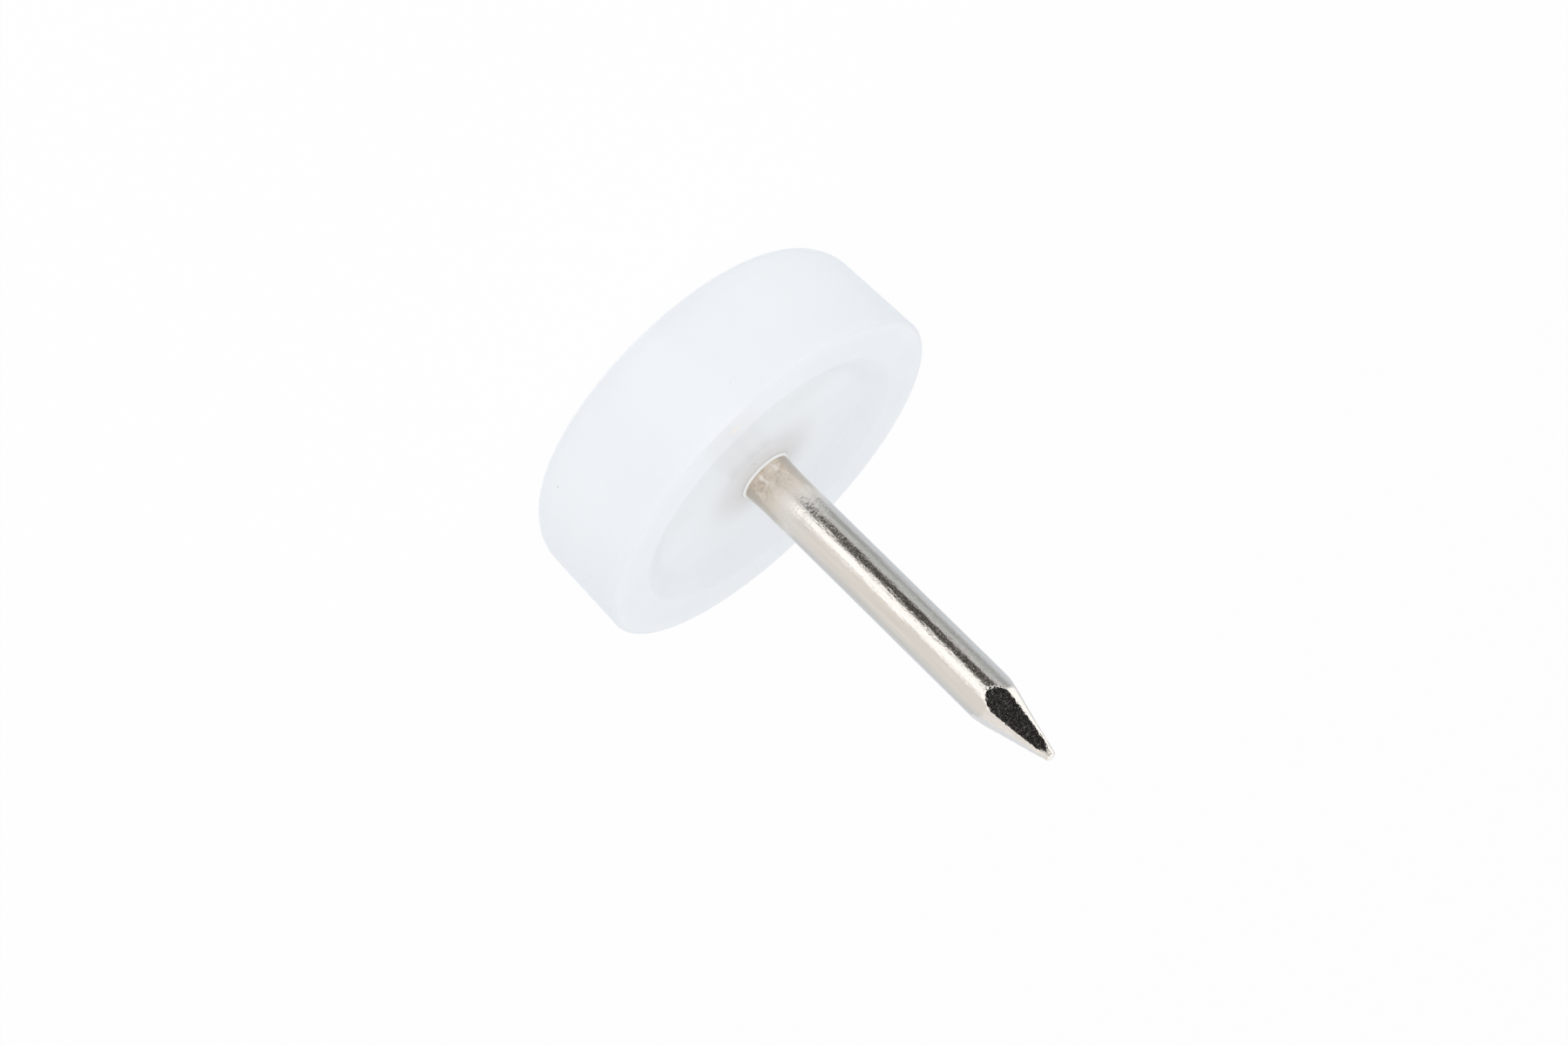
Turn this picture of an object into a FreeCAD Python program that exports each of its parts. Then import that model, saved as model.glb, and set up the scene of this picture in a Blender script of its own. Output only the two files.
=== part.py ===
"""Nail-on furniture glide: a moulded plastic head on a round steel nail with a four-sided point.

Row frame: millimetres, +Z up along the nail, origin at the middle of the head's floor face.
The head stands on its floor face. Its nail side looks up, with the flat land that the leg sits
on and a shallow dish around the nail. The nail's own head is moulded into the plastic.
"""
import FreeCAD
import Part
import math
import os

from Sketcher import Constraint

# Driving dimensions, in millimetres where the note says nothing else: name, value, note
SIZES = [
    ("head_dia", 20.0, "head across its rim, its widest place"),
    ("head_height", 6.7, "floor face to the land"),
    ("wall_draft", 1.8, "degrees that the wall leans out towards the nail side"),
    ("floor_edge_rad", 2.1, "large round between the floor face and the wall"),
    ("rim_rad", 0.2, "small round on the rim"),
    ("land_width", 2.3, "flat ring between the rim and the dish"),
    ("dish_slope_width", 1.3, "sloped ring between the land and the dish's floor"),
    ("dish_depth", 0.65, "land to the dish's floor"),
    ("dish_edge_rad", 0.3, "round on the dish's upper edge"),
    ("dish_foot_rad", 1.0, "round at the foot of the dish's slope"),
    ("root_width", 0.9, "ring of plastic that rises from the dish's floor to the nail"),
    ("root_height", 0.28, "how far it rises"),
    ("root_foot_rad", 1.2, "round at its foot"),
    ("lip_rad", 0.12, "bead on top of it, drawn up around the nail"),
    ("nail_dia", 2.55, "nail's round shank"),
    ("nail_length", 22.5, "whole nail, its own head included"),
    ("nail_bury", 1.6, "plastic between the dish's floor and the nail's own head"),
    ("nail_head_dia", 6.5, "nail's own head, inside the plastic"),
    ("nail_head_thick", 1.1, "thickness of that head"),
    ("neck_swell", 0.05, "how much larger the shank's radius is where it leaves the plastic"),
    ("neck_length", 1.2, "length over which that swelling runs out"),
    ("point_length", 4.15, "length of the flats on the nail's point"),
    ("point_flats", 4, "number of those flats"),
    ("point_end_width", 0.5, "point's blunt end across its flats"),
    ("point_end_rad", 0.12, "round on the edge of that end"),
    ("point_hollow_rad", 60.0, "radius of the shallow hollow along each flat"),
    ("point_ridge_trim", 0.81, "reach of the worn ridges, as a share of sharp ones"),
    ("point_turn", 8.0, "degrees that the flats are turned clockwise, seen from the tip"),
]

# Places that several features share, worked out from the driving dimensions
RIM_RAD = "(Sizes.head_dia / 2)"
WALL_FOOT_RAD = f"({RIM_RAD} - Sizes.head_height * tan(Sizes.wall_draft))"
LAND_EDGE_RAD = f"({RIM_RAD} - Sizes.land_width)"
DISH_FOOT_RAD = f"({LAND_EDGE_RAD} - Sizes.dish_slope_width)"
LAND = "Sizes.head_height"
DISH_FLOOR = "(Sizes.head_height - Sizes.dish_depth)"
LIP_FOOT = f"({DISH_FLOOR} + Sizes.root_height)"
LIP_TOP = f"({LIP_FOOT} + Sizes.lip_rad)"
NAIL_HEAD_UNDER = f"({DISH_FLOOR} - Sizes.nail_bury)"
NAIL_HEAD_FACE = f"({NAIL_HEAD_UNDER} - Sizes.nail_head_thick)"
NAIL_TIP = f"({NAIL_HEAD_FACE} + Sizes.nail_length)"
NAIL_HEAD_RAD = "(Sizes.nail_head_dia / 2)"
SHANK_RAD = "(Sizes.nail_dia / 2)"
NECK_RAD = f"({SHANK_RAD} + Sizes.neck_swell)"
NECK_END = f"({LIP_TOP} + Sizes.neck_length)"
LIP_FOOT_RAD = f"({NECK_RAD} + Sizes.lip_rad)"
ROOT_FOOT_RAD = f"({LIP_FOOT_RAD} + Sizes.root_width)"

# The flats close in evenly from the shank to the tip, and the ridges between them reach further
# by a fixed ratio, so the ridges start where that reach is the shank's own radius
FLAT_START = f"({NAIL_TIP} - Sizes.point_length)"
FLAT_END_REACH = "(Sizes.point_end_width / 2)"
RIDGE_RATIO = "(Sizes.point_ridge_trim / cos(180 / Sizes.point_flats))"
RIDGE_END_REACH = f"({FLAT_END_REACH} * {RIDGE_RATIO})"
RIDGE_SHARE = f"(({SHANK_RAD} / {RIDGE_RATIO} - {FLAT_END_REACH}) / ({SHANK_RAD} - {FLAT_END_REACH}))"
RIDGE_START = f"({NAIL_TIP} - Sizes.point_length * {RIDGE_SHARE})"

# How a sketch's constraints number its origin, its axes and the ends of an element
ORIGIN_INDICES = (-1, 1)
ACROSS_AXIS_INDEX = -1
UP_AXIS_INDEX = -2
START_INDEX = 1
END_INDEX = 2

FULL_TURN = 360
SAME_PLACE = 1e-4
SAME_VOLUME = 1e-3


def make_sheet(doc):
    """The spreadsheet whose cells drive the whole part."""
    sheet = doc.addObject("Spreadsheet::Sheet", "Sizes")
    for row, (name, value, note) in enumerate(SIZES, start=1):
        sheet.set(f"A{row}", name)
        sheet.set(f"B{row}", str(value))
        sheet.set(f"C{row}", note)
        sheet.setAlias(f"B{row}", name)
    doc.recompute()
    return sheet


def make_body(doc, name):
    """An empty body whose label is the sub-part's name."""
    body = doc.addObject("PartDesign::Body", name)
    body.Label = name
    body.Placement = FreeCAD.Placement()
    return body


def origin_item(body, role):
    """One of the body's own origin planes or axes."""
    return next(item for item in body.Origin.OriginFeatures if item.Role == role)


def make_sketch(body, name):
    """A sketch on the body's XZ plane: across is the distance from the nail's axis, up is Z."""
    sketch = body.newObject("Sketcher::SketchObject", name)
    sketch.AttachmentSupport = [(origin_item(body, "XZ_Plane"), "")]
    sketch.MapMode = "FlatFace"
    return sketch


def amount(item, expression):
    """What an expression comes to, as a plain number. None stands for a place on the axis."""
    if expression is None:
        return 0.0
    value = item.evalExpression(expression)
    return float(getattr(value, "Value", value))


def tie_corner(sketch, element, corner):
    """Ties the start of an element to its corner: name, place across, place up."""
    name, *places = corner
    kinds = ("DistanceX", "DistanceY")
    axes = (UP_AXIS_INDEX, ACROSS_AXIS_INDEX)
    for kind, axis, place in zip(kinds, axes, places):
        point = (element, START_INDEX)
        if place is None:
            sketch.addConstraint(Constraint("PointOnObject", *point, axis))
            continue
        distance = Constraint(kind, *ORIGIN_INDICES, *point, amount(sketch, place))
        index = sketch.addConstraint(distance)
        label = name + kind[-1]
        sketch.renameConstraint(index, label)
        sketch.setExpression(f"Constraints.{label}", place)


def arc_between(start, end, radius):
    """An arc whose centre is to the left of the way from its start to its end."""
    half = (end - start) / 2
    left = FreeCAD.Vector(-half.y, half.x, 0).normalize()
    to_centre = math.sqrt(max(radius**2 - half.Length**2, 0))
    return Part.Arc(start, start + half + left * (to_centre - radius), end)


def draw_outline(sketch, corners, arcs):
    """A closed outline, drawn anticlockwise through its corners and tied to the sheet.

    Its sides are lines, apart from arcs: the corner where each starts, and its radius.
    """
    spots = [
        FreeCAD.Vector(amount(sketch, across), amount(sketch, up), 0)
        for name, across, up in corners
    ]
    elements = []
    for corner, start, end in zip(corners, spots, spots[1:] + spots[:1]):
        radius = arcs.get(corner[0])
        if radius:
            side = arc_between(start, end, amount(sketch, radius))
        else:
            side = Part.LineSegment(start, end)
        elements.append(sketch.addGeometry(side, False))
    for element, following in zip(elements, elements[1:] + elements[:1]):
        meeting = Constraint("Coincident", element, END_INDEX, following, START_INDEX)
        sketch.addConstraint(meeting)
    for element, corner in zip(elements, corners):
        tie_corner(sketch, element, corner)
        radius = arcs.get(corner[0])
        if radius:
            index = sketch.addConstraint(Constraint("Radius", element, amount(sketch, radius)))
            label = corner[0] + "Radius"
            sketch.renameConstraint(index, label)
            sketch.setExpression(f"Constraints.{label}", radius)


def turn(body, kind, name, corners, arcs=None):
    """A Revolution or Groove of an outline about the nail's axis."""
    sketch = make_sketch(body, name + "Outline")
    draw_outline(sketch, corners, arcs or {})
    feature = body.newObject(f"PartDesign::{kind}", name)
    feature.Profile = sketch
    feature.ReferenceAxis = (sketch, ["V_Axis"])
    feature.Angle = FULL_TURN
    body.Document.recompute()
    return feature


def ring_edge(feature, across, up):
    """The name of the feature's circular edge at a distance from the axis and a height."""
    radius, height = amount(feature, across), amount(feature, up)
    for number, edge in enumerate(feature.Shape.Edges, start=1):
        curve = edge.Curve
        if not isinstance(curve, Part.Circle):
            continue
        if abs(curve.Radius - radius) < SAME_PLACE and abs(curve.Center.z - height) < SAME_PLACE:
            return f"Edge{number}"
    raise RuntimeError(f"{feature.Name} has no edge of radius {radius} at height {height}")


def round_edge(body, name, across, up, radius):
    """A Fillet on one circular edge of the body as it stands."""
    base = body.Tip
    feature = body.newObject("PartDesign::Fillet", name)
    feature.Base = (base, [ring_edge(base, across, up)])
    feature.setExpression("Radius", radius)
    body.Document.recompute()
    return feature


def make_head(doc):
    """The moulded head: a turned disc with a dish, and the seat that the nail fills."""
    body = make_body(doc, "glide_head")
    disc = [
        ("FloorCentre", None, None),
        ("FloorEdge", WALL_FOOT_RAD, None),
        ("Rim", RIM_RAD, LAND),
        ("LandEdge", LAND_EDGE_RAD, LAND),
        ("DishFoot", DISH_FOOT_RAD, DISH_FLOOR),
        ("RootFoot", ROOT_FOOT_RAD, DISH_FLOOR),
        ("LipFoot", LIP_FOOT_RAD, LIP_FOOT),
        ("LipTop", NECK_RAD, LIP_TOP),
        ("LipCentre", None, LIP_TOP),
    ]
    turn(body, "Revolution", "Disc", disc, {"LipFoot": "Sizes.lip_rad"})
    round_edge(body, "FloorRound", WALL_FOOT_RAD, None, "Sizes.floor_edge_rad")
    round_edge(body, "RimRound", RIM_RAD, LAND, "Sizes.rim_rad")
    round_edge(body, "DishEdgeRound", LAND_EDGE_RAD, LAND, "Sizes.dish_edge_rad")
    round_edge(body, "DishFootRound", DISH_FOOT_RAD, DISH_FLOOR, "Sizes.dish_foot_rad")
    round_edge(body, "RootFootRound", ROOT_FOOT_RAD, DISH_FLOOR, "Sizes.root_foot_rad")
    seat = [
        ("FaceCentre", None, NAIL_HEAD_FACE),
        ("FaceEdge", NAIL_HEAD_RAD, NAIL_HEAD_FACE),
        ("UnderEdge", NAIL_HEAD_RAD, NAIL_HEAD_UNDER),
        ("HoleFoot", NECK_RAD, NAIL_HEAD_UNDER),
        ("HoleTop", NECK_RAD, NECK_END),
        ("HoleTopCentre", None, NECK_END),
    ]
    turn(body, "Groove", "NailSeat", seat)
    return body


def make_nail(doc):
    """The nail: a turned blank, head down, with flats pressed all round its point."""
    body = make_body(doc, "nail")
    blank = [
        ("FaceCentre", None, NAIL_HEAD_FACE),
        ("FaceEdge", NAIL_HEAD_RAD, NAIL_HEAD_FACE),
        ("UnderEdge", NAIL_HEAD_RAD, NAIL_HEAD_UNDER),
        ("NeckFoot", NECK_RAD, NAIL_HEAD_UNDER),
        ("NeckTop", NECK_RAD, LIP_TOP),
        ("NeckEnd", SHANK_RAD, NECK_END),
        ("RidgeStart", SHANK_RAD, RIDGE_START),
        ("TipEdge", RIDGE_END_REACH, NAIL_TIP),
        ("TipCentre", None, NAIL_TIP),
    ]
    turn(body, "Revolution", "Blank", blank)
    round_edge(body, "TipRound", RIDGE_END_REACH, NAIL_TIP, "Sizes.point_end_rad")

    flat = make_sketch(body, "FlatOutline")
    clockwise = FreeCAD.Vector(0, -1, 0)
    turned = FreeCAD.Rotation(clockwise, amount(flat, "Sizes.point_turn"))
    flat.AttachmentOffset = FreeCAD.Placement(FreeCAD.Vector(), turned)
    flat.setExpression("AttachmentOffset.Rotation.Angle", "Sizes.point_turn")
    outside_shank = "Sizes.nail_dia"
    above_tip = f"({NAIL_TIP} + {SHANK_RAD})"
    pressed_away = [
        ("FlatEnd", FLAT_END_REACH, NAIL_TIP),
        ("FlatStart", SHANK_RAD, FLAT_START),
        ("StartOutside", outside_shank, FLAT_START),
        ("EndOutside", outside_shank, above_tip),
        ("EndAbove", FLAT_END_REACH, above_tip),
    ]
    draw_outline(flat, pressed_away, {"FlatEnd": "Sizes.point_hollow_rad"})
    pocket = body.newObject("PartDesign::Pocket", "Flat")
    pocket.Profile = flat
    pocket.Type = "Length"
    pocket.SideType = "Symmetric"
    pocket.setExpression("Length", "Sizes.nail_dia * 2")
    doc.recompute()

    flats = body.newObject("PartDesign::PolarPattern", "Flats")
    flats.Originals = [pocket]
    flats.Axis = (origin_item(body, "Z_Axis"), [""])
    flats.Angle = FULL_TURN
    flats.setExpression("Occurrences", "Sizes.point_flats")
    body.Tip = flats
    doc.recompute()
    return body


def check(doc, bodies):
    """Stops before anything is written if a feature failed, or the pieces don't fit."""
    for item in doc.Objects:
        if "Invalid" in item.State or "Error" in item.State:
            raise RuntimeError(f"{item.Name} failed: {item.State}")
    for body in bodies:
        shape = body.Shape
        if shape.isNull() or not shape.isValid() or len(shape.Solids) != 1:
            raise RuntimeError(f"{body.Label} isn't one valid solid")
        box = shape.optimalBoundingBox()
        print(f"{body.Label}: {shape.Volume:.2f} mm3, {box.XLength:.3f} x {box.YLength:.3f},")
        print(f"  from {box.ZMin:.3f} to {box.ZMax:.3f} mm up")
    for cut in ("NailSeat", "Flat", "Flats"):
        feature = doc.getObject(cut)
        before = feature.BaseFeature.Shape.Volume
        if not feature.Shape.Volume < before - SAME_VOLUME:
            raise RuntimeError(f"{cut} removed nothing")
        print(f"{cut} removed {before - feature.Shape.Volume:.3f} mm3")
    head, nail = bodies
    shared = head.Shape.common(nail.Shape).Volume
    if shared > SAME_VOLUME:
        raise RuntimeError(f"the nail and the head overlap by {shared} mm3")


def main():
    doc = FreeCAD.newDocument("furniture_glide")
    make_sheet(doc)
    bodies = [make_head(doc), make_nail(doc)]
    check(doc, bodies)
    os.makedirs("parts", exist_ok=True)
    for body in bodies:
        body.Shape.exportStep(os.path.join("parts", f"{body.Label}.step"))


main()
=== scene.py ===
import math

import bmesh
import bpy
from mathutils import Matrix, Vector, noise


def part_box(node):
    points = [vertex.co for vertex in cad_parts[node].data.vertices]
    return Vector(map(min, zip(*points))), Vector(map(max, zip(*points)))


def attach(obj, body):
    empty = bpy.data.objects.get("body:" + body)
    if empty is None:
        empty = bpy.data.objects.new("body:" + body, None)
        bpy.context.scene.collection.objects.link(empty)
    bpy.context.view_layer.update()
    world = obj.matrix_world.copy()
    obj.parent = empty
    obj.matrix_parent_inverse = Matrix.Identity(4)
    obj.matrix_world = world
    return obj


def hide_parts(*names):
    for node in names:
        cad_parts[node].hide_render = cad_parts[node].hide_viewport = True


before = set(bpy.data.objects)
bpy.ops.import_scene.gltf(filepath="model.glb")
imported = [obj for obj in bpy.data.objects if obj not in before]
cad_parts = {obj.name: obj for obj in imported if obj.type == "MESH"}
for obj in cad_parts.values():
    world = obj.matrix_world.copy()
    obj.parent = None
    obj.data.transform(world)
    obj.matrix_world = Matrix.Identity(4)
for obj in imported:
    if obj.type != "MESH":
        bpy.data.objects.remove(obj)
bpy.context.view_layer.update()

# Metres and degrees. The part stands on its floor face, with its nail up along +Z.
MM = 0.001

# Plastic head
HEAD_RAD = 10.0 * MM
HEAD_HEIGHT = 6.7 * MM
WALL_DRAFT = 1.8
FLOOR_EDGE_RAD = 2.1 * MM
RIM_RAD = 0.2 * MM
LAND_WIDTH = 2.3 * MM
SLOPE_WIDTH = 1.3 * MM
DISH_DEPTH = 0.65 * MM
DISH_EDGE_RAD = 0.3 * MM
DISH_FOOT_RAD = 1.0 * MM
ROOT_WIDTH = 0.9 * MM
ROOT_HEIGHT = 0.28 * MM
ROOT_FOOT_RAD = 1.2 * MM
LIP_RAD = 0.12 * MM

# Nail
SHANK_RAD = 1.275 * MM
NECK_SWELL = 0.05 * MM
NECK_LENGTH = 1.2 * MM
POINT_LENGTH = 4.15 * MM
POINT_END = 0.25 * MM
POINT_END_RAD = 0.12 * MM
NAIL_HEAD_THICK = 1.1 * MM
HOLLOW_RAD = 60.0 * MM
RIDGE_TRIM = 0.81
POINT_FLATS = 4
POINT_TURN = 8.0

# Ragged burr around each flat, and the wear that takes the flats away at the tip
BURR_HEIGHT = 0.012 * MM
BURR_MEAN = 0.5
BURR_SWING = 1.6
BURR_REACH = 0.03 * MM
BURR_GRAIN = 0.11 * MM
WORN_FROM = 0.75 * MM
WORN_ROUND = 0.15 * MM

# Places that follow from the sizes above
NAIL_LOW, NAIL_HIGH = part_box("nail")
NAIL_HEAD_RAD = NAIL_HIGH.x
NAIL_HEAD_TOP = NAIL_LOW.z + NAIL_HEAD_THICK
TIP_HEIGHT = NAIL_HIGH.z
DISH_FLOOR = HEAD_HEIGHT - DISH_DEPTH
LIP_TOP = DISH_FLOOR + ROOT_HEIGHT + LIP_RAD
NECK_RAD = SHANK_RAD + NECK_SWELL
NECK_END = LIP_TOP + NECK_LENGTH

# Meshes: how fine they are. The fine rings reach a little further down than the point does.
HEAD_SEGMENTS = 360
NAIL_SEGMENTS = 288
FLOOR_SEGMENTS = 64
ARC_STEP = 4.0
ARC_SUPPORT = 0.03 * MM
SHARP_ANGLE = 35.0
SAME_PLACE = 0.001 * MM
EDGE_SOFTNESS = 0.03 * MM
FINE_RINGS_SHARE = 1.1
FINE_RINGS_START = TIP_HEIGHT - FINE_RINGS_SHARE * POINT_LENGTH
POINT_RINGS = 150
END_RINGS = 6

# Camera: where it looks from, and how the frame is turned
CAMERA_DISTANCE = 200.0 * MM
CAMERA_TARGET = Vector((0, 0, 6.0 * MM))
CAMERA_ELEVATION = 17.77
CAMERA_ROLL = 44.65
CAMERA_ACROSS = 0.965 * MM
CAMERA_UP = 2.526 * MM
CAMERA_LENS = 96.86
CLIP_NEAR = 10.0 * MM
CLIP_FAR = 9.0

# Colours of the plastic, in linear light
PLASTIC_COLOUR = (0.855, 0.885, 0.92)
# Painted shade round the nail's foot
HALO_SHADE_COLOUR = (0.735, 0.725, 0.735)
# Painted shade in the near part of the dish
BOWL_SHADE_COLOUR = (0.76, 0.785, 0.81)
# Painted highlight on the lip round the nail
LIP_LIGHT_COLOUR = (0.93, 0.925, 0.91)
# Painted shade in a thin ring at the lip's foot
LIP_FOOT_SHADE_COLOUR = (0.62, 0.59, 0.56)
# Painted light on the wall's left and right ends, lighter and bluer
WALL_END_LIGHT_COLOUR = (0.89, 0.922, 0.957)
# Painted shade along the rim's crest, to dull its light line
RIM_SHADE_COLOUR = (0.77, 0.80, 0.83)
# Painted reflection of the nail on the near land: a blurred patch and a bright spot
NAIL_REFLECTION_BLUR_COLOUR = (0.87, 0.855, 0.885)
NAIL_REFLECTION_SPOT_COLOUR = (0.93, 0.89, 0.85)
DUST_COLOUR = (0.45, 0.44, 0.42)

# Where the plastic's paint fades. A fade has two ends: a reading, and the strength there. The
# reading is in millimetres, by distance from the axis, by height (UP), by distance from the
# middle (ACROSS) or by the near side (NEAR). A noise is its scale per millimetre, its detail and
# its roughness, and a fade of a noise reads from 0 to 1.
TOP_UP = ((5.9, 0.0), (6.0, 1.0))
HALO_FADE = ((1.5, 1.0), (4.6, 0.0))
HALO_OFF_LIP = ((1.44, 0.0), (1.52, 1.0))
BOWL_FADE = ((7.5, 0.0), (6.3, 0.35))
BOWL_NEAR = ((-1.0, 0.0), (-4.0, 1.0))
LIP_FADE = ((1.42, 1.0), (1.46, 0.0))
LIP_UP = ((6.25, 0.0), (6.35, 1.0))
# Painted shade at the lip's foot: its radius, half width and strength by height
LIP_FOOT_SHADE_RAD = 1.49
LIP_FOOT_SHADE_HALF_WIDTH = 0.05
LIP_FOOT_SHADE_UP = ((6.2, 0.0), (6.3, 0.6))
WALL_END_ACROSS = ((2.0, 0.25), (6.5, 1.0))
WALL_END_FADE = ((9.0, 0.0), (9.6, 1.0))
WALL_END_UP = ((3.5, 0.9), (6.6, 0.3))
RIM_FADE = ((9.7, 0.0), (9.8, 1.0))
RIM_UP = ((6.5, 0.0), (6.6, 1.0))
RIM_SHADE_SHARE = 0.3
CLOUD_NOISE = (0.35, 3.0)
CLOUD_LEVEL = ((0.3, 0.985), (0.7, 1.01))

# Painted reflection of the nail on the near land: a bright spot, by distance from it, and a
# blurred patch around it
NAIL_REFLECTION_PLACE = (-0.45, -8.75, 6.7)
NAIL_REFLECTION_SPOT_FADE = ((0.15, 0.8), (0.4, 0.0))
NAIL_REFLECTION_BLUR_FADE = ((0.5, 0.35), (2.2, 0.0))
NAIL_REFLECTION_BLUR_NOISE = (1.1, 2.0)
NAIL_REFLECTION_BLUR_PATCHES = ((0.35, 0.2), (0.55, 1.0))

# Specks of dust: cells per millimetre, the share of cells without one, and a speck's edge
DUST_PER_MM = 1.1
DUST_FREE_SHARE = 0.8
SPECK_FADE = ((0.03, 1.0), (0.05, 0.0))

# Finish of the plastic
PLASTIC_NOISE = (9.0, 3.0)
PLASTIC_BUMP = 0.01 * MM
PLASTIC_BUMP_SHARE = 0.12
PLASTIC_ROUGHNESS = 0.3
PLASTIC_IOR = 1.5
PLASTIC_SPECULAR = 0.25
MILKY_SHARE = 0.12
MILKY_RADIUS = (1.0, 1.0, 1.0)
MILKY_DEPTH = 0.5 * MM

# Colours of the nail, in linear light
NICKEL_COLOUR = (0.805, 0.765, 0.72)
WARM_COLOUR = (0.89, 0.79, 0.68)
# Brown stain near the plastic, also used as painted shade on the nail's left and right sides
STAIN_AND_SIDE_SHADE_COLOUR = (0.58, 0.485, 0.385)
# Painted shade on the nail's left and right sides near the plastic
SIDE_SHADE_COLOUR = (0.55, 0.51, 0.46)
# Painted highlight in a strip down the middle of the nail, above the plastic
NAIL_HIGHLIGHT_COLOUR = (0.98, 0.91, 0.83)
SCUFF_COLOUR = (0.93, 0.865, 0.785)

# Where the nail's paint fades, by height unless the name says ACROSS
WARM_FADE = ((7.6, 1.0), (9.6, 0.0))
STAIN_AND_SIDE_SHADE_FADE = ((6.9, 1.0), (8.5, 0.0))
# The nail's left and right sides, where shade is painted
SIDE_SHADE_ACROSS = ((0.8, 0.0), (1.15, 0.7))
STAIN_NOISE = (2.8, 6.0, 0.75)
STAIN_CLOUDS = ((0.36, 0.2), (0.6, 1.0))
STAIN_GRAIN = ((0.35, 0.55), (0.6, 1.1))
# Painted shade on the nail's left and right sides, by height
SIDE_SHADE_FADE = ((8.2, 1.0), (9.3, 0.0))
# Painted highlight down the nail's middle: its place across, its width, and its start and end by
# height
NAIL_HIGHLIGHT_MIDDLE = 0.2
NAIL_HIGHLIGHT_ACROSS = ((0.05, 0.8), (0.5, 0.0))
NAIL_HIGHLIGHT_START = ((7.4, 0.0), (8.7, 1.0))
NAIL_HIGHLIGHT_END = ((9.0, 1.0), (9.8, 0.0))
DRAWN_NOISE = (3.5, 4.0)
DRAWN_LEVEL = ((0.3, 0.95), (0.7, 1.04))

# Light scuffs on the nail near the plastic, in millimetres: middle, half width and half length.
# Their edges are ragged with the grain, and fade by the share of that half width or length.
SCUFFS = [
    ((0.21, -1.29, 6.86), 0.11, 0.45),
    ((-0.62, -1.15, 6.76), 0.22, 0.28),
    ((-1.0, -0.79, 8.6), 0.16, 0.26),
    ((0.6, 1.17, 6.8), 0.08, 0.24),
    ((-0.9, 0.92, 7.2), 0.12, 0.12),
]
SCUFF_RAGGED = ((0.3, -0.35), (0.6, 0.35))
SCUFF_FADE = ((0.5, 0.65), (1.2, 0.0))

# Finish of the nail: grain, streaks along it, and dents, as heights of one bump, and pits.
# The grain and the pits change where the point starts.
POINT_FOOT = (TIP_HEIGHT - POINT_LENGTH) / MM
FOOT_BELOW = POINT_FOOT - 0.1
FOOT_ABOVE = POINT_FOOT + 0.3
GRAIN_NOISE = (6.5, 3.0, 0.6)
GRAIN_HEIGHT = ((FOOT_BELOW, 1.15), (FOOT_ABOVE, 0.8))
STREAK_SHAPE = (1.0, 1.0, 0.08)
STREAK_NOISE = (6.0, 3.0)
STREAK_HEIGHT = 1.4
DENT_NOISE = (1.3, 2.0)
BUMP_FADE = ((8.2, 0.3), (9.2, 1.0))
NAIL_BUMP = 0.012 * MM
PIT_NOISE = (9.0, 2.0, 0.6)
PIT_SHARE = ((0.42, 0.0), (0.7, 1.0))
PIT_ROUGHNESS = ((FOOT_BELOW, 0.1), (FOOT_ABOVE, 0.13))
POLISH_NOISE = (2.0, 3.0)
POLISH_ROUGHNESS = ((0.3, 0.08), (0.7, 0.12))

# Floor and sky. The floor's glow has a share for all else, at 0, and for the camera, at 1.
WHITE = (1.0, 1.0, 1.0)
FLOOR_RAD = 3.0
FLOOR_GAP = 0.02 * MM
FLOOR_COLOUR = (0.9, 0.9, 0.9)
FLOOR_GLOW = ((0.0, 0.9), (1.0, 0.95))
SKY_COLOUR = (0.82, 0.825, 0.83)

# Square lamps that face the part: name, place, size and watts
LAMPS = [
    ("key", Vector((-8 * MM, -75 * MM, 61 * MM)), 190 * MM, 0.0255),
    ("rim_fill", Vector((0, -16 * MM, 30 * MM)), 20 * MM, 0.00055),
]

# What gloss shows all round the part: degrees from the camera's side, and colour.
# The low ring is the table's side of the horizon, and the high one is above it. The fades from
# the low ring to the high one, and from there to the ceiling, are by degrees of height.
GLOSS_LEVEL = (1.5, 1.5, 1.5)
LOW_RING = [
    (-180, (0.66, 0.67, 0.68)),
    (-152, (0.49, 0.515, 0.565)),
    (-128, (0.45, 0.47, 0.49)),
    (-80, (0.565, 0.56, 0.545)),
    (-28, (0.56, 0.55, 0.53)),
    (-16, (0.87, 0.88, 0.90)),
    (14, (0.86, 0.855, 0.855)),
    (34, (0.58, 0.56, 0.535)),
    (68, (0.385, 0.405, 0.415)),
    (80, (0.325, 0.345, 0.35)),
    (91, (0.25, 0.26, 0.27)),
    (101, (0.305, 0.32, 0.335)),
    (113, (0.445, 0.48, 0.50)),
    (128, (0.46, 0.495, 0.53)),
    (150, (0.43, 0.465, 0.51)),
    (180, (0.66, 0.67, 0.68)),
]
HIGH_RING = [
    (-150, (0.66, 0.67, 0.68)),
    (-30, (0.60, 0.59, 0.57)),
    (-20, (0.88, 0.87, 0.86)),
    (30, (0.85, 0.85, 0.85)),
    (108, (0.87, 0.87, 0.87)),
    (126, (0.50, 0.52, 0.54)),
    (156, (0.50, 0.52, 0.54)),
    (172, (0.66, 0.67, 0.68)),
]
CEILING_COLOUR = (0.8, 0.8, 0.8)
HIGH_RING_FADE = ((-9, 0.0), (-1, 1.0))
CEILING_FADE = ((24, 0.0), (34, 1.0))

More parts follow.
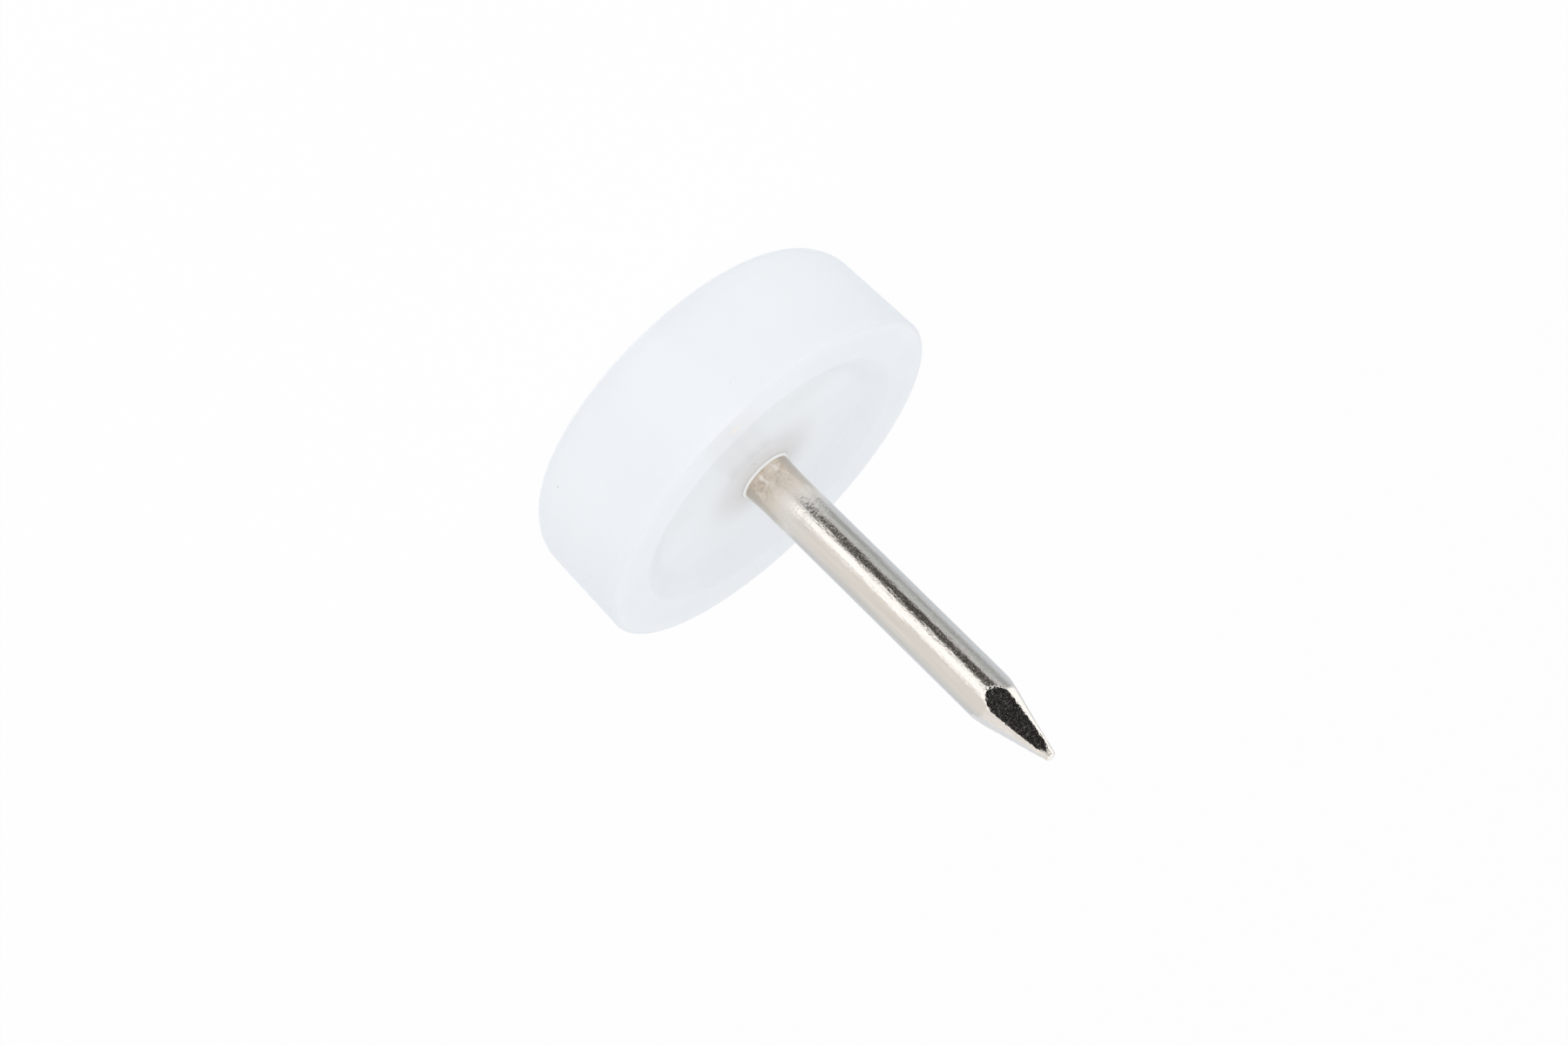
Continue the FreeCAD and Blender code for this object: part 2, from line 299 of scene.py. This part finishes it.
# Nearly black cards that only gloss shows, with soft edges: one on the floor, and one upright
# at the point's height. A span is degrees and cover. A row is distance, height, cover and
# how many degrees it is turned.
LYING_COLOUR = (0.074, 0.067, 0.063)
LYING_SPANS = [(12, 0.0), (16, 0.5), (19, 1.0), (50, 1.0), (58, 0.0)]
LYING_ROWS = [
    (28 * MM, 0.0, 0.0, -14),
    (32 * MM, 0.0, 0.85, -9),
    (37 * MM, 0.0, 1.0, -4),
    (43 * MM, 0.0, 1.0, 0),
    (260 * MM, 0.0, 1.0, 0),
]
UPRIGHT_COLOUR = (0.02, 0.02, 0.02)
UPRIGHT_SPANS = [(-10, 0.0), (-4, 1.0), (42, 1.0), (50, 0.0)]
UPRIGHT_ROWS = [
    (45 * MM, 23 * MM, 0.0, 0),
    (45 * MM, 26 * MM, 1.0, 0),
    (45 * MM, 57 * MM, 1.0, 0),
    (45 * MM, 61 * MM, 0.0, 0),
]
CARD_STEP = 3


class Nodes:
    """A node tree with short calls to add, set and link nodes."""

    def __init__(self, tree):
        self.tree = tree
        tree.nodes.clear()

    def add(self, kind, settings=None, **inputs):
        """A new node. Inputs are values or other nodes' outputs, by socket name."""
        node = self.tree.nodes.new(kind)
        for name, value in (settings or {}).items():
            setattr(node, name, value)
        for name, value in inputs.items():
            self.put(node, name.replace("_", " "), value)
        return node

    def put(self, node, name, value):
        """Sets or links one input, by its name or number. A colour is given as three numbers."""
        socket = node.inputs[name]
        if isinstance(value, bpy.types.NodeSocket):
            self.tree.links.new(value, socket)
        elif socket.type == "RGBA":
            socket.default_value = (*value, 1.0)
        else:
            socket.default_value = value

    def math(self, operation, *values, clamp=False):
        node = self.add("ShaderNodeMath", {"operation": operation, "use_clamp": clamp})
        for number, value in enumerate(values):
            self.put(node, number, value)
        return node.outputs[0]

    def times(self, value, *others):
        """The product of two or more values."""
        for other in others:
            value = self.math("MULTIPLY", value, other)
        return value

    def vector(self, operation, *values):
        """A vector, or a number where the operation measures one."""
        node = self.add("ShaderNodeVectorMath", {"operation": operation})
        for number, value in enumerate(values):
            self.put(node, number, value)
        return node.outputs["Value" if operation in ("LENGTH", "DISTANCE") else "Vector"]

    def split(self, vector):
        return self.add("ShaderNodeSeparateXYZ", Vector=vector).outputs

    def noise(self, vector, scale, detail, roughness=0.5):
        node = self.add("ShaderNodeTexNoise", Vector=vector, Scale=scale, Detail=detail,
                        Roughness=roughness)
        return node.outputs["Fac"]

    def fade(self, value, ends, smooth=False):
        """Turns a reading into a strength, between two ends of (reading, strength)."""
        kind = "SMOOTHSTEP" if smooth else "LINEAR"
        node = self.add("ShaderNodeMapRange", {"interpolation_type": kind}, Value=value)
        (low, first), (high, last) = ends
        self.put(node, "From Min", low)
        self.put(node, "From Max", high)
        self.put(node, "To Min", first)
        self.put(node, "To Max", last)
        return node.outputs["Result"]

    def mix(self, factor, first, second, blend="MIX"):
        node = self.add("ShaderNodeMix", {"data_type": "RGBA", "blend_type": blend})
        self.put(node, 0, factor)
        self.put(node, 6, first)
        self.put(node, 7, second)
        return node.outputs[2]

    def shaded(self, colour, level):
        """A colour that is made lighter or darker by a level."""
        grey = self.add("ShaderNodeCombineColor", Red=level, Green=level, Blue=level)
        return self.mix(1.0, colour, grey.outputs["Color"], "MULTIPLY")

    def blend(self, share, first, second):
        """A mix of two shaders."""
        node = self.add("ShaderNodeMixShader")
        self.put(node, 0, share)
        self.put(node, 1, first)
        self.put(node, 2, second)
        return node.outputs["Shader"]

    def ramp(self, value, stops):
        node = self.add("ShaderNodeValToRGB", Fac=value)
        ramp = node.color_ramp
        while len(ramp.elements) < len(stops):
            ramp.elements.new(1.0)
        for element, (place, colour) in zip(ramp.elements, stops):
            element.position = place
            element.color = (*colour, 1.0)
        return node.outputs["Color"]


def rounded_path(corners):
    """A profile through corners (radius, height, round), with each round as an arc.

    Where a side has room, a point lies just outside an arc, so that shading stays on the round.
    """
    path = []
    spots = [Vector((across, up)) for across, up, size in corners]
    for number, (across, up, size) in enumerate(corners):
        here = spots[number]
        if not size:
            path.append(here)
            continue
        sides = (spots[number - 1] - here, spots[number + 1] - here)
        to_last, to_next = (side.normalized() for side in sides)
        opening = to_last.angle(to_next)
        reach = size / math.tan(opening / 2)
        centre = here + (to_last + to_next).normalized() * size / math.sin(opening / 2)
        start = here + to_last * reach - centre
        turned = start.angle_signed(here + to_next * reach - centre)
        count = max(2, math.ceil(abs(math.degrees(turned)) / ARC_STEP))
        arc = [
            centre + Matrix.Rotation(-turned * index / count, 2) @ start
            for index in range(count + 1)
        ]
        before, after = (
            [here + side.normalized() * (reach + ARC_SUPPORT)]
            if side.length > reach + 2 * ARC_SUPPORT else []
            for side in sides
        )
        path += before + arc + after
    return path


def link_mesh(name, build):
    """An object of the scene, from finished faces."""
    mesh = bpy.data.meshes.new(name)
    build.to_mesh(mesh)
    build.free()
    piece = bpy.data.objects.new(name, mesh)
    bpy.context.scene.collection.objects.link(piece)
    return piece


def make_lathe(name, path, segments, shape=None):
    """A closed solid of a profile turned about Z. Its ends lie on the axis.

    shape(across, up, angle) may give a point of the profile another radius at some angles.
    """
    build = bmesh.new()
    rings = []
    for across, up in path[1:-1]:
        ring = []
        for index in range(segments):
            angle = math.tau * index / segments
            radius = shape(across, up, angle) if shape else across
            spot = (radius * math.cos(angle), radius * math.sin(angle), up)
            ring.append(build.verts.new(spot))
        rings.append(ring)
    for lower, upper in zip(rings, rings[1:]):
        for index in range(segments):
            after = (index + 1) % segments
            build.faces.new((lower[index], lower[after], upper[after], upper[index]))
    for ring, up, facing in ((rings[0], path[0][1], -1), (rings[-1], path[-1][1], 1)):
        middle = build.verts.new((0, 0, up))
        for index in range(segments):
            pair = (ring[index], ring[(index + 1) % segments])
            build.faces.new((middle, *pair[::facing]))
    bmesh.ops.remove_doubles(build, verts=build.verts, dist=SAME_PLACE)
    bmesh.ops.recalc_face_normals(build, faces=build.faces)
    for face in build.faces:
        face.smooth = True
    for edge in build.edges:
        edge.smooth = edge.calc_face_angle() < math.radians(SHARP_ANGLE)
    return link_mesh(name, build)


def make_head():
    """The moulded head, with the seat that the nail fills."""
    wall_foot = HEAD_RAD - HEAD_HEIGHT * math.tan(math.radians(WALL_DRAFT))
    land_edge = HEAD_RAD - LAND_WIDTH
    lip_foot = NECK_RAD + LIP_RAD
    path = rounded_path([
        (0, 0, 0),
        (wall_foot, 0, FLOOR_EDGE_RAD),
        (HEAD_RAD, HEAD_HEIGHT, RIM_RAD),
        (land_edge, HEAD_HEIGHT, DISH_EDGE_RAD),
        (land_edge - SLOPE_WIDTH, DISH_FLOOR, DISH_FOOT_RAD),
        (lip_foot + ROOT_WIDTH, DISH_FLOOR, ROOT_FOOT_RAD),
        (lip_foot, LIP_TOP - LIP_RAD, 0),
        (lip_foot, LIP_TOP, LIP_RAD),
        (NECK_RAD, LIP_TOP, 0),
        (NECK_RAD, NAIL_HEAD_TOP, 0),
        (NAIL_HEAD_RAD, NAIL_HEAD_TOP, 0),
        (NAIL_HEAD_RAD, NAIL_LOW.z, 0),
        (0, NAIL_LOW.z, 0),
    ])
    piece = make_lathe("glide_head_moulding", path, HEAD_SEGMENTS)
    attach(piece, "root")
    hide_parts("glide_head")
    return piece


def point_reaches(up):
    """How far the point's flats and its ridges lie from the axis at a height."""
    share = (TIP_HEIGHT - up) / POINT_LENGTH
    straight = POINT_END + (SHANK_RAD - POINT_END) * share
    chord = math.hypot(POINT_LENGTH, SHANK_RAD - POINT_END)
    along = (share - 0.5) * chord
    hollow = math.sqrt(HOLLOW_RAD**2 - along**2) - math.sqrt(HOLLOW_RAD**2 - chord**2 / 4)
    return straight - hollow, straight * RIDGE_TRIM / math.cos(math.pi / POINT_FLATS)


def soft_least(values, softness):
    """The least of some lengths, rounded off where two of them are nearly equal."""
    least = min(values)
    return least - softness * math.log(sum(math.exp((least - v) / softness) for v in values))


def smooth_step(share):
    """From 0 to 1 as the share goes from 0 to 1, level at both ends and beyond them."""
    share = min(1.0, max(0.0, share))
    return share * share * (3 - 2 * share)


def point_radius(across, up, angle):
    """The nail's radius: round along the shank, and four-sided with worn ridges at the point."""
    if up < FINE_RINGS_START:
        return across
    step = math.tau / POINT_FLATS
    reach, ridge = point_reaches(up)
    wear = smooth_step((up - TIP_HEIGHT + WORN_FROM) / (WORN_FROM - WORN_ROUND))
    ridge -= (ridge - reach) * wear
    turned = (angle + math.radians(POINT_TURN) + step / 2) % step - step / 2
    side = reach / math.cos(turned)
    radius = soft_least([across, side, ridge], EDGE_SOFTNESS)
    spot = Vector((across * math.cos(angle), across * math.sin(angle), up)) / BURR_GRAIN
    ragged = BURR_HEIGHT * (BURR_MEAN + BURR_SWING * noise.noise(spot))
    radius += ragged * math.exp(-((side - min(across, ridge)) / BURR_REACH) ** 2)
    end_depth = max(0, up - (TIP_HEIGHT - POINT_END_RAD))
    return radius - POINT_END_RAD + math.sqrt(POINT_END_RAD**2 - end_depth**2)


def make_nail():
    """The nail, from its own head inside the plastic to its worn point."""
    end_start = TIP_HEIGHT - POINT_END_RAD
    path = [Vector(spot) for spot in (
        (0, NAIL_LOW.z),
        (NAIL_HEAD_RAD, NAIL_LOW.z),
        (NAIL_HEAD_RAD, NAIL_HEAD_TOP),
        (NECK_RAD, NAIL_HEAD_TOP),
        (NECK_RAD, LIP_TOP),
        (SHANK_RAD, NECK_END),
    )]
    for index in range(POINT_RINGS):
        up = FINE_RINGS_START + (end_start - FINE_RINGS_START) * index / POINT_RINGS
        path.append(Vector((SHANK_RAD, up)))
    for index in range(END_RINGS + 1):
        rise = math.sin(math.pi / 2 * index / END_RINGS)
        path.append(Vector((SHANK_RAD, end_start + POINT_END_RAD * rise)))
    path.append(Vector((0, TIP_HEIGHT)))
    piece = make_lathe("plated_nail", path, NAIL_SEGMENTS, point_radius)
    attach(piece, "root")
    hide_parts("nail")
    return piece


def new_material(name):
    material = bpy.data.materials.new(name)
    material.use_nodes = True
    return material, Nodes(material.node_tree)


def object_millimetres(nodes):
    """The place on the object in millimetres, as a vector."""
    place = nodes.add("ShaderNodeTexCoord").outputs["Object"]
    return nodes.vector("MULTIPLY", place, (1 / MM, 1 / MM, 1 / MM))


def plastic_paint(nodes, place):
    """The plastic's colour: bluish white with dust, and painted light and shade: shade round the
    nail's foot, in the near part of the dish, at the foot of the lip and along the rim's crest, a
    highlight on the lip, light on the wall's ends, and a reflection of the nail on the near land.
    """
    x, y, up = nodes.split(place)
    from_axis = nodes.math("SQRT", nodes.math("ADD", nodes.times(x, x), nodes.times(y, y)))
    on_top = nodes.fade(up, TOP_UP)
    # Painted shade round the nail's foot, on the top face and off the lip
    halo_shade = nodes.fade(from_axis, HALO_FADE, smooth=True)
    halo_shade = nodes.times(halo_shade, halo_shade, on_top, nodes.fade(from_axis, HALO_OFF_LIP))
    colour = nodes.mix(halo_shade, PLASTIC_COLOUR, HALO_SHADE_COLOUR)
    colour = nodes.shaded(colour, nodes.fade(nodes.noise(place, *CLOUD_NOISE), CLOUD_LEVEL))
    # Painted shade in the near part of the dish
    bowl_shade = nodes.times(nodes.fade(from_axis, BOWL_FADE, smooth=True),
                       nodes.fade(y, BOWL_NEAR, smooth=True), on_top)
    colour = nodes.mix(bowl_shade, colour, BOWL_SHADE_COLOUR)
    # Painted highlight on the lip round the nail
    lip = nodes.times(nodes.fade(from_axis, LIP_FADE), nodes.fade(up, LIP_UP))
    colour = nodes.mix(lip, colour, LIP_LIGHT_COLOUR)
    # Painted shade in a thin ring at the lip's foot
    lip_foot_shade = nodes.math("COMPARE", from_axis, LIP_FOOT_SHADE_RAD, LIP_FOOT_SHADE_HALF_WIDTH)
    colour = nodes.mix(nodes.times(lip_foot_shade, nodes.fade(up, LIP_FOOT_SHADE_UP)), colour, LIP_FOOT_SHADE_COLOUR)
    # Painted light on the wall's left and right ends, lighter and bluer
    wall_end_light = nodes.times(nodes.fade(nodes.math("ABSOLUTE", x), WALL_END_ACROSS),
                           nodes.fade(from_axis, WALL_END_FADE), nodes.fade(up, WALL_END_UP))
    colour = nodes.mix(wall_end_light, colour, WALL_END_LIGHT_COLOUR)
    # Painted shade along the rim's crest
    rim = nodes.times(nodes.fade(from_axis, RIM_FADE), nodes.fade(up, RIM_UP), RIM_SHADE_SHARE)
    colour = nodes.mix(rim, colour, RIM_SHADE_COLOUR)
    # Painted reflection of the nail on the near land: a blurred patch, then a bright spot
    from_nail_reflection = nodes.vector("DISTANCE", place, NAIL_REFLECTION_PLACE)
    nail_reflection_blur = nodes.times(nodes.fade(from_nail_reflection, NAIL_REFLECTION_BLUR_FADE, smooth=True),
                        nodes.fade(nodes.noise(place, *NAIL_REFLECTION_BLUR_NOISE), NAIL_REFLECTION_BLUR_PATCHES))
    colour = nodes.mix(nail_reflection_blur, colour, NAIL_REFLECTION_BLUR_COLOUR)
    colour = nodes.mix(nodes.fade(from_nail_reflection, NAIL_REFLECTION_SPOT_FADE, smooth=True), colour, NAIL_REFLECTION_SPOT_COLOUR)
    cells = nodes.add("ShaderNodeTexVoronoi", Vector=place, Scale=DUST_PER_MM).outputs
    drawn = nodes.add("ShaderNodeSeparateColor", Color=cells["Color"]).outputs["Red"]
    speck = nodes.times(nodes.fade(cells["Distance"], SPECK_FADE),
                        nodes.math("GREATER_THAN", drawn, DUST_FREE_SHARE))
    return nodes.mix(speck, colour, DUST_COLOUR)


def plastic_material():
    """Milky, semi-gloss plastic with a faint grain."""
    material, nodes = new_material("milky_plastic")
    place = object_millimetres(nodes)
    colour = plastic_paint(nodes, place)
    grain = nodes.noise(place, *PLASTIC_NOISE)
    bump = nodes.add("ShaderNodeBump", Strength=PLASTIC_BUMP_SHARE, Distance=PLASTIC_BUMP,
                     Height=grain)
    shader = nodes.add("ShaderNodeBsdfPrincipled", Base_Color=colour, Roughness=PLASTIC_ROUGHNESS,
                       IOR=PLASTIC_IOR, Specular_IOR_Level=PLASTIC_SPECULAR,
                       Subsurface_Weight=MILKY_SHARE, Subsurface_Radius=MILKY_RADIUS,
                       Subsurface_Scale=MILKY_DEPTH, Normal=bump.outputs["Normal"])
    nodes.add("ShaderNodeOutputMaterial", Surface=shader.outputs["BSDF"])
    return material


def nail_paint(nodes, place, along, grain):
    """The nail's colour: nickel, warm, stained and scuffed near the plastic, with painted shade
    on its left and right sides and a painted highlight down its middle there.
    """
    x, _, up = nodes.split(place)
    # The nail's left and right sides, for painted shade; the stained clouds go to full there too
    sides = nodes.fade(nodes.math("ABSOLUTE", x), SIDE_SHADE_ACROSS, smooth=True)
    clouds = nodes.times(nodes.fade(nodes.noise(place, *STAIN_NOISE), STAIN_CLOUDS),
                         nodes.fade(grain, STAIN_GRAIN))
    clouds = nodes.math("ADD", clouds, sides, clamp=True)
    colour = nodes.mix(nodes.fade(up, WARM_FADE, smooth=True), NICKEL_COLOUR, WARM_COLOUR)
    stain_and_side_shade = nodes.times(nodes.fade(up, STAIN_AND_SIDE_SHADE_FADE, smooth=True), clouds)
    colour = nodes.mix(stain_and_side_shade, colour, STAIN_AND_SIDE_SHADE_COLOUR)
    # Painted shade on the nail's left and right sides near the plastic
    side_shade = nodes.times(sides, nodes.fade(up, SIDE_SHADE_FADE, smooth=True))
    colour = nodes.mix(side_shade, colour, SIDE_SHADE_COLOUR)
    # Painted highlight in a strip down the middle of the nail
    off_middle = nodes.math("ABSOLUTE", nodes.math("SUBTRACT", x, NAIL_HIGHLIGHT_MIDDLE))
    nail_highlight = nodes.times(nodes.fade(off_middle, NAIL_HIGHLIGHT_ACROSS, smooth=True),
                         nodes.fade(up, NAIL_HIGHLIGHT_START, smooth=True),
                         nodes.fade(up, NAIL_HIGHLIGHT_END, smooth=True))
    colour = nodes.mix(nail_highlight, colour, NAIL_HIGHLIGHT_COLOUR)
    ragged = nodes.fade(grain, SCUFF_RAGGED)
    for middle, wide, long in SCUFFS:
        off = nodes.vector("DIVIDE", nodes.vector("SUBTRACT", place, middle), (wide, wide, long))
        reach = nodes.math("ADD", nodes.vector("LENGTH", off), ragged)
        colour = nodes.mix(nodes.fade(reach, SCUFF_FADE, smooth=True), colour, SCUFF_COLOUR)
    return nodes.shaded(colour, nodes.fade(nodes.noise(along, *DRAWN_NOISE), DRAWN_LEVEL))


def plating_material():
    """Bright nickel on drawn steel wire, with fine grain and streaks along the nail."""
    material, nodes = new_material("nickel_plating")
    place = object_millimetres(nodes)
    up = nodes.split(place)["Z"]
    along = nodes.vector("MULTIPLY", place, STREAK_SHAPE)
    grain = nodes.noise(place, *GRAIN_NOISE)
    colour = nail_paint(nodes, place, along, grain)
    height = nodes.math("ADD", nodes.times(grain, nodes.fade(up, GRAIN_HEIGHT)),
                        nodes.times(nodes.noise(along, *STREAK_NOISE), STREAK_HEIGHT))
    height = nodes.math("ADD", height, nodes.noise(place, *DENT_NOISE))
    height = nodes.times(height, nodes.fade(up, BUMP_FADE))
    bump = nodes.add("ShaderNodeBump", Strength=1.0, Distance=NAIL_BUMP, Height=height)
    pits = nodes.times(nodes.fade(nodes.noise(place, *PIT_NOISE), PIT_SHARE),
                       nodes.fade(up, PIT_ROUGHNESS))
    polish = nodes.fade(nodes.noise(place, *POLISH_NOISE), POLISH_ROUGHNESS)
    shader = nodes.add("ShaderNodeBsdfPrincipled", Base_Color=colour, Metallic=1.0,
                       Roughness=nodes.math("ADD", polish, pits), Normal=bump.outputs["Normal"])
    nodes.add("ShaderNodeOutputMaterial", Surface=shader.outputs["BSDF"])
    return material


def make_floor():
    """A pale floor just under the part. It shows white, and keeps a faint shadow."""
    build = bmesh.new()
    bmesh.ops.create_circle(build, cap_ends=True, segments=FLOOR_SEGMENTS, radius=FLOOR_RAD)
    bmesh.ops.translate(build, vec=(0, 0, -FLOOR_GAP), verts=build.verts)
    floor = link_mesh("floor", build)
    material, nodes = new_material("pale_floor")
    rays = nodes.add("ShaderNodeLightPath").outputs
    matt = nodes.add("ShaderNodeBsdfDiffuse", Color=FLOOR_COLOUR)
    glow = nodes.add("ShaderNodeEmission", Color=WHITE, Strength=1.0)
    share = nodes.fade(rays["Is Camera Ray"], FLOOR_GLOW)
    both = nodes.blend(share, matt.outputs["BSDF"], glow.outputs["Emission"])
    nodes.add("ShaderNodeOutputMaterial", Surface=both)
    floor.data.materials.append(material)
    floor.visible_glossy = False


def make_world():
    """Plain soft light all round, with brighter and darker places that only gloss shows."""
    world = bpy.data.worlds.new("studio")
    world.use_nodes = True
    world.cycles.sampling_method = "NONE"
    bpy.context.scene.world = world
    nodes = Nodes(world.node_tree)
    rays = nodes.add("ShaderNodeLightPath").outputs
    x, y, z = nodes.split(nodes.add("ShaderNodeTexCoord").outputs["Generated"])
    angle = nodes.math("ARCTAN2", nodes.times(x, -1.0), nodes.times(y, -1.0))
    turn = nodes.fade(angle, ((-math.pi, 0.0), (math.pi, 1.0)))
    gloss, high = (
        nodes.ramp(turn, [((degrees + 180) / 360, colour) for degrees, colour in ring])
        for ring in (LOW_RING, HIGH_RING)
    )
    for ends, colour in ((HIGH_RING_FADE, high), (CEILING_FADE, CEILING_COLOUR)):
        ends = [(math.sin(math.radians(degrees)), share) for degrees, share in ends]
        gloss = nodes.mix(nodes.fade(z, ends, smooth=True), gloss, colour)
    gloss = nodes.vector("MULTIPLY", gloss, GLOSS_LEVEL)
    seen = nodes.mix(rays["Is Glossy Ray"], SKY_COLOUR, gloss)
    seen = nodes.mix(rays["Is Camera Ray"], seen, WHITE)
    light = nodes.add("ShaderNodeBackground", Color=seen, Strength=1.0)
    nodes.add("ShaderNodeOutputWorld", Surface=light.outputs["Background"])


def make_card(name, spans, rows, shade):
    """A dark card bent about Z. Its cover fades at its edges, and only gloss shows it."""
    build = bmesh.new()
    cover_layer = build.verts.layers.float.new("cover")
    columns = []
    for (first, cover), (last, next_cover) in zip(spans, spans[1:]):
        steps = max(1, round((last - first) / CARD_STEP))
        columns += [
            (first + (last - first) * step / steps, cover + (next_cover - cover) * step / steps)
            for step in range(steps)
        ]
    columns.append(spans[-1])
    grid = []
    for angle, cover in columns:
        line = []
        for distance, up, row_cover, turn in rows:
            turned = math.radians(angle + turn)
            spot = (-distance * math.sin(turned), -distance * math.cos(turned), up)
            vertex = build.verts.new(spot)
            vertex[cover_layer] = cover * row_cover
            line.append(vertex)
        grid.append(line)
    for line, after in zip(grid, grid[1:]):
        for index in range(len(rows) - 1):
            build.faces.new((line[index], line[index + 1], after[index + 1], after[index]))
    card = link_mesh(name, build)
    material, nodes = new_material(name)
    cover = nodes.add("ShaderNodeAttribute", {"attribute_name": "cover"}).outputs["Fac"]
    clear = nodes.add("ShaderNodeBsdfTransparent")
    dark = nodes.add("ShaderNodeEmission", Color=shade, Strength=1.0)
    both = nodes.blend(cover, clear.outputs["BSDF"], dark.outputs["Emission"])
    nodes.add("ShaderNodeOutputMaterial", Surface=both)
    card.data.materials.append(material)
    card.visible_camera = False
    card.visible_diffuse = False
    card.visible_transmission = False
    card.visible_shadow = False
    card.visible_volume_scatter = False


def make_lamp(name, place, size, energy):
    """A soft square lamp. Only matt surfaces show its light."""
    light = bpy.data.lights.new(name, "AREA")
    light.shape = "SQUARE"
    light.size = size
    light.energy = energy
    lamp = bpy.data.objects.new(name, light)
    lamp.location = place
    lamp.rotation_mode = "QUATERNION"
    lamp.rotation_quaternion = place.to_track_quat("Z", "Y")
    lamp.visible_glossy = False
    lamp.visible_camera = False
    bpy.context.scene.collection.objects.link(lamp)


def make_camera():
    """The camera at the photograph's angle, turned so that the nail points to the lower right."""
    tilt = math.radians(CAMERA_ELEVATION)
    roll = math.radians(CAMERA_ROLL)
    forward = Vector((0, math.cos(tilt), -math.sin(tilt)))
    across = Vector((1, 0, 0))
    upward = Vector((0, math.sin(tilt), math.cos(tilt)))
    place = CAMERA_TARGET - forward * CAMERA_DISTANCE
    place += across * CAMERA_ACROSS + upward * CAMERA_UP
    right = upward * math.cos(roll) - across * math.sin(roll)
    top = -across * math.cos(roll) - upward * math.sin(roll)
    turned = Matrix((right, top, -forward)).transposed()
    lens = bpy.data.cameras.new("camera")
    lens.lens = CAMERA_LENS
    lens.clip_start = CLIP_NEAR
    lens.clip_end = CLIP_FAR
    camera = bpy.data.objects.new("camera", lens)
    camera.matrix_world = Matrix.Translation(place) @ turned.to_4x4()
    bpy.context.scene.collection.objects.link(camera)
    bpy.context.scene.camera = camera


bpy.context.scene.view_settings.view_transform = "Standard"
make_camera()
make_world()
for lamp_values in LAMPS:
    make_lamp(*lamp_values)
make_floor()
make_card("lying_card", LYING_SPANS, LYING_ROWS, LYING_COLOUR)
make_card("upright_card", UPRIGHT_SPANS, UPRIGHT_ROWS, UPRIGHT_COLOUR)
make_head().data.materials.append(plastic_material())
make_nail().data.materials.append(plating_material())
